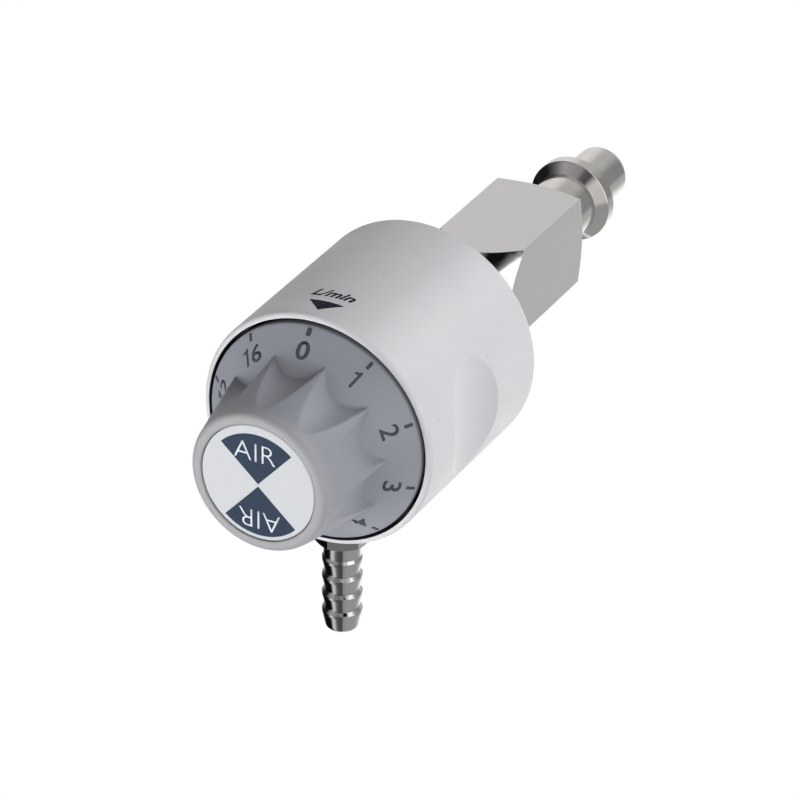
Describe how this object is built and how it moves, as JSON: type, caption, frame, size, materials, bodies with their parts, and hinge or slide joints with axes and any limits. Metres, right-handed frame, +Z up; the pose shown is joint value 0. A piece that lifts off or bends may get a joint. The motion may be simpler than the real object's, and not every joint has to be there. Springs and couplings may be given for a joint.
{
  "type": "medical air flowmeter",
  "caption": "Plug-in dial flowmeter for medical air: round grey housing, scooped selector knob with a scale, square block with probe, barbed hose tail below.",
  "frame": {"origin": "centre of the rear face of the probe's locking flange", "axes": "+Y along the probe, towards the wall outlet; the dial faces -Y; +Z up, with the hose tail pointing down"},
  "size_m": [0.052, 0.1525, 0.0783],
  "materials": {
    "housing_plastic": "satin",
    "knob_plastic": "satin",
    "label_white": "satin",
    "label_field": "printed",
    "chrome": "polished",
    "satin_nickel": "satin plated",
    "probe_steel": "fine turned",
    "brass": "machined",
    "dark_brass": "chemically blackened",
    "steel": "zinc plated",
    "spring_steel": "bright drawn",
    "seal_rubber": "matt",
    "seat_plastic": "smooth",
    "sintered_bronze": "sintered"
  },
  "bodies": {
    "meter_body": {"housing_shell": "housing_plastic", "hose_nozzle": "chrome", "inlet_block": "satin_nickel", "probe": "probe_steel", "valve_body": "dark_brass", "front_cover": "dark_brass", "cover_screws": "steel", "cover_oring": "seal_rubber", "spindle_oring": "seal_rubber", "seat_seal": "seat_plastic", "seat_spring": "spring_steel", "click_spring": "spring_steel", "click_screw": "steel", "lock_washer": "steel", "lock_nut": "steel", "inlet_oring": "seal_rubber", "inlet_filter": "sintered_bronze", "probe_oring": "seal_rubber", "nozzle_washer": "seat_plastic"},
    "dial": {"dial_knob": "knob_plastic", "gas_label": "label_white", "label_quadrants": "label_field", "knob_screw": "steel", "spindle": "steel", "click_wheel": "brass", "orifice_disc": "steel", "disc_clip": "spring_steel"}
  },
  "joints": [
    {"name": "dial_turn", "type": "hinge", "parent": "meter_body", "child": "dial", "pos_m": [0, -0.1152, 0], "axis": [0, -1, 0], "continuous": true, "deforming": ["click_spring"]}
  ]
}
